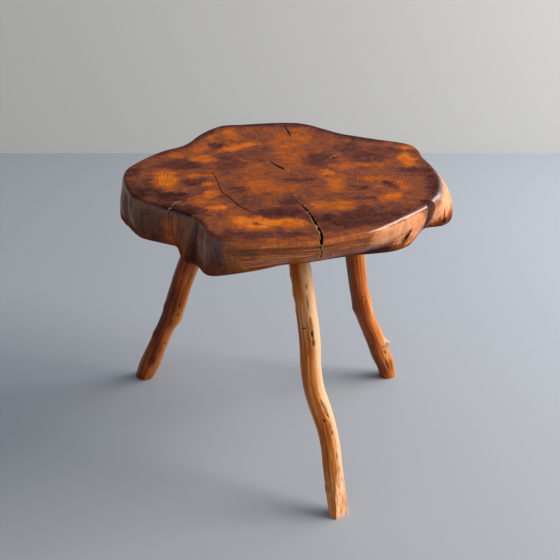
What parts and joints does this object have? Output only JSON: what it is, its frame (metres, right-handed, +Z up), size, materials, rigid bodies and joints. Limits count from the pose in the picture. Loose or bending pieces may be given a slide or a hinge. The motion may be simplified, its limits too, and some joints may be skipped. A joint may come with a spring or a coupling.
{
  "type": "side table",
  "caption": "Low side table: a lobed live-edge tree slice on splayed, crooked branch legs held by wedged blind tenons.",
  "frame": {"origin": "middle of the table's footprint box, on the floor", "axes": "+Z up out of the table top, -Y towards the front leg, +X towards the notched lobe"},
  "size_m": [0.5344, 0.523, 0.45],
  "materials": {
    "slab_wood": "varnished end grain, mottled orange and dark brown",
    "branch_wood": "peeled and varnished branch, amber",
    "wedge_wood": "bare split wood"
  },
  "bodies": {
    "root": {"slab": "slab_wood", "front_leg": "branch_wood", "left_leg": "branch_wood", "right_leg": "branch_wood", "front_wedge": "wedge_wood", "left_wedge": "wedge_wood", "right_wedge": "wedge_wood"}
  },
  "joints": []
}
